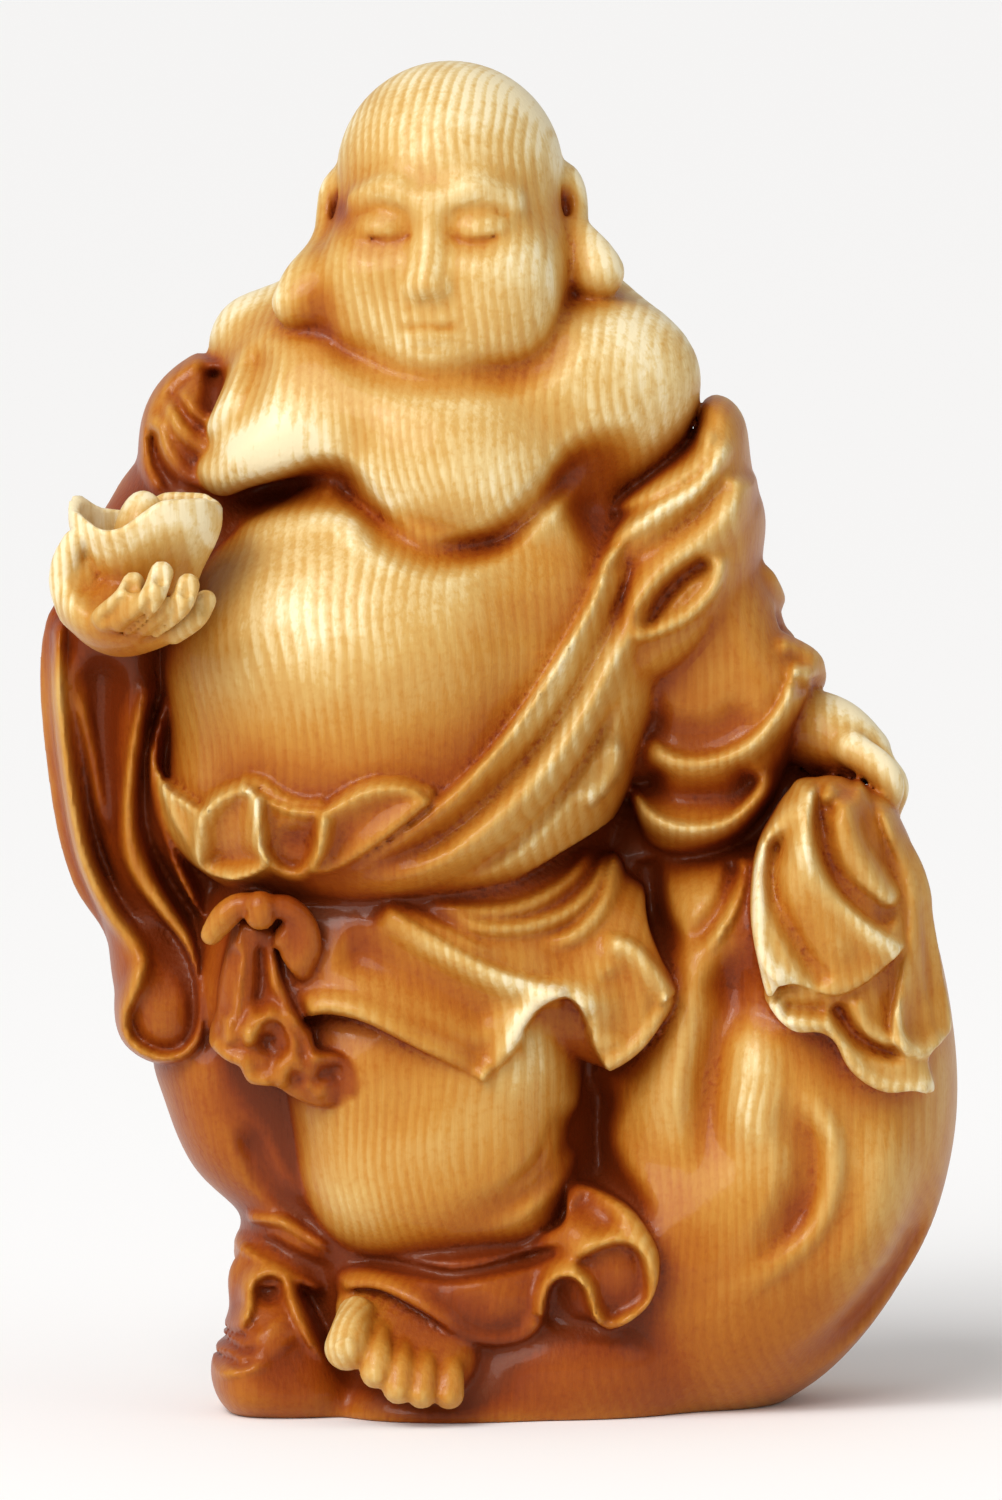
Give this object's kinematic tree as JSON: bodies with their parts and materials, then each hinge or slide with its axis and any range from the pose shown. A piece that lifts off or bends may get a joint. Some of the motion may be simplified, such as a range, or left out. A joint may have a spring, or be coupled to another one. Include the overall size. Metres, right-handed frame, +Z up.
{
  "type": "budai figure",
  "caption": "Standing bald monk with bare belly and open robe, holding a boat-shaped ingot, one hand on a big sack; carved in one piece of wood.",
  "frame": {"origin": "under the middle of the figure's bounding box, on the plane of its flat underside", "axes": "+Z up through the crown; the figure faces -Y; +X to the viewer's right, towards the sack"},
  "size_m": [0.1836, 0.1134, 0.27],
  "materials": {
    "wood": "honey coloured close-grained wood with orange to red-brown stain in the recesses, satin-gloss varnish"
  },
  "bodies": {
    "root": {"figure": "wood"}
  },
  "joints": []
}
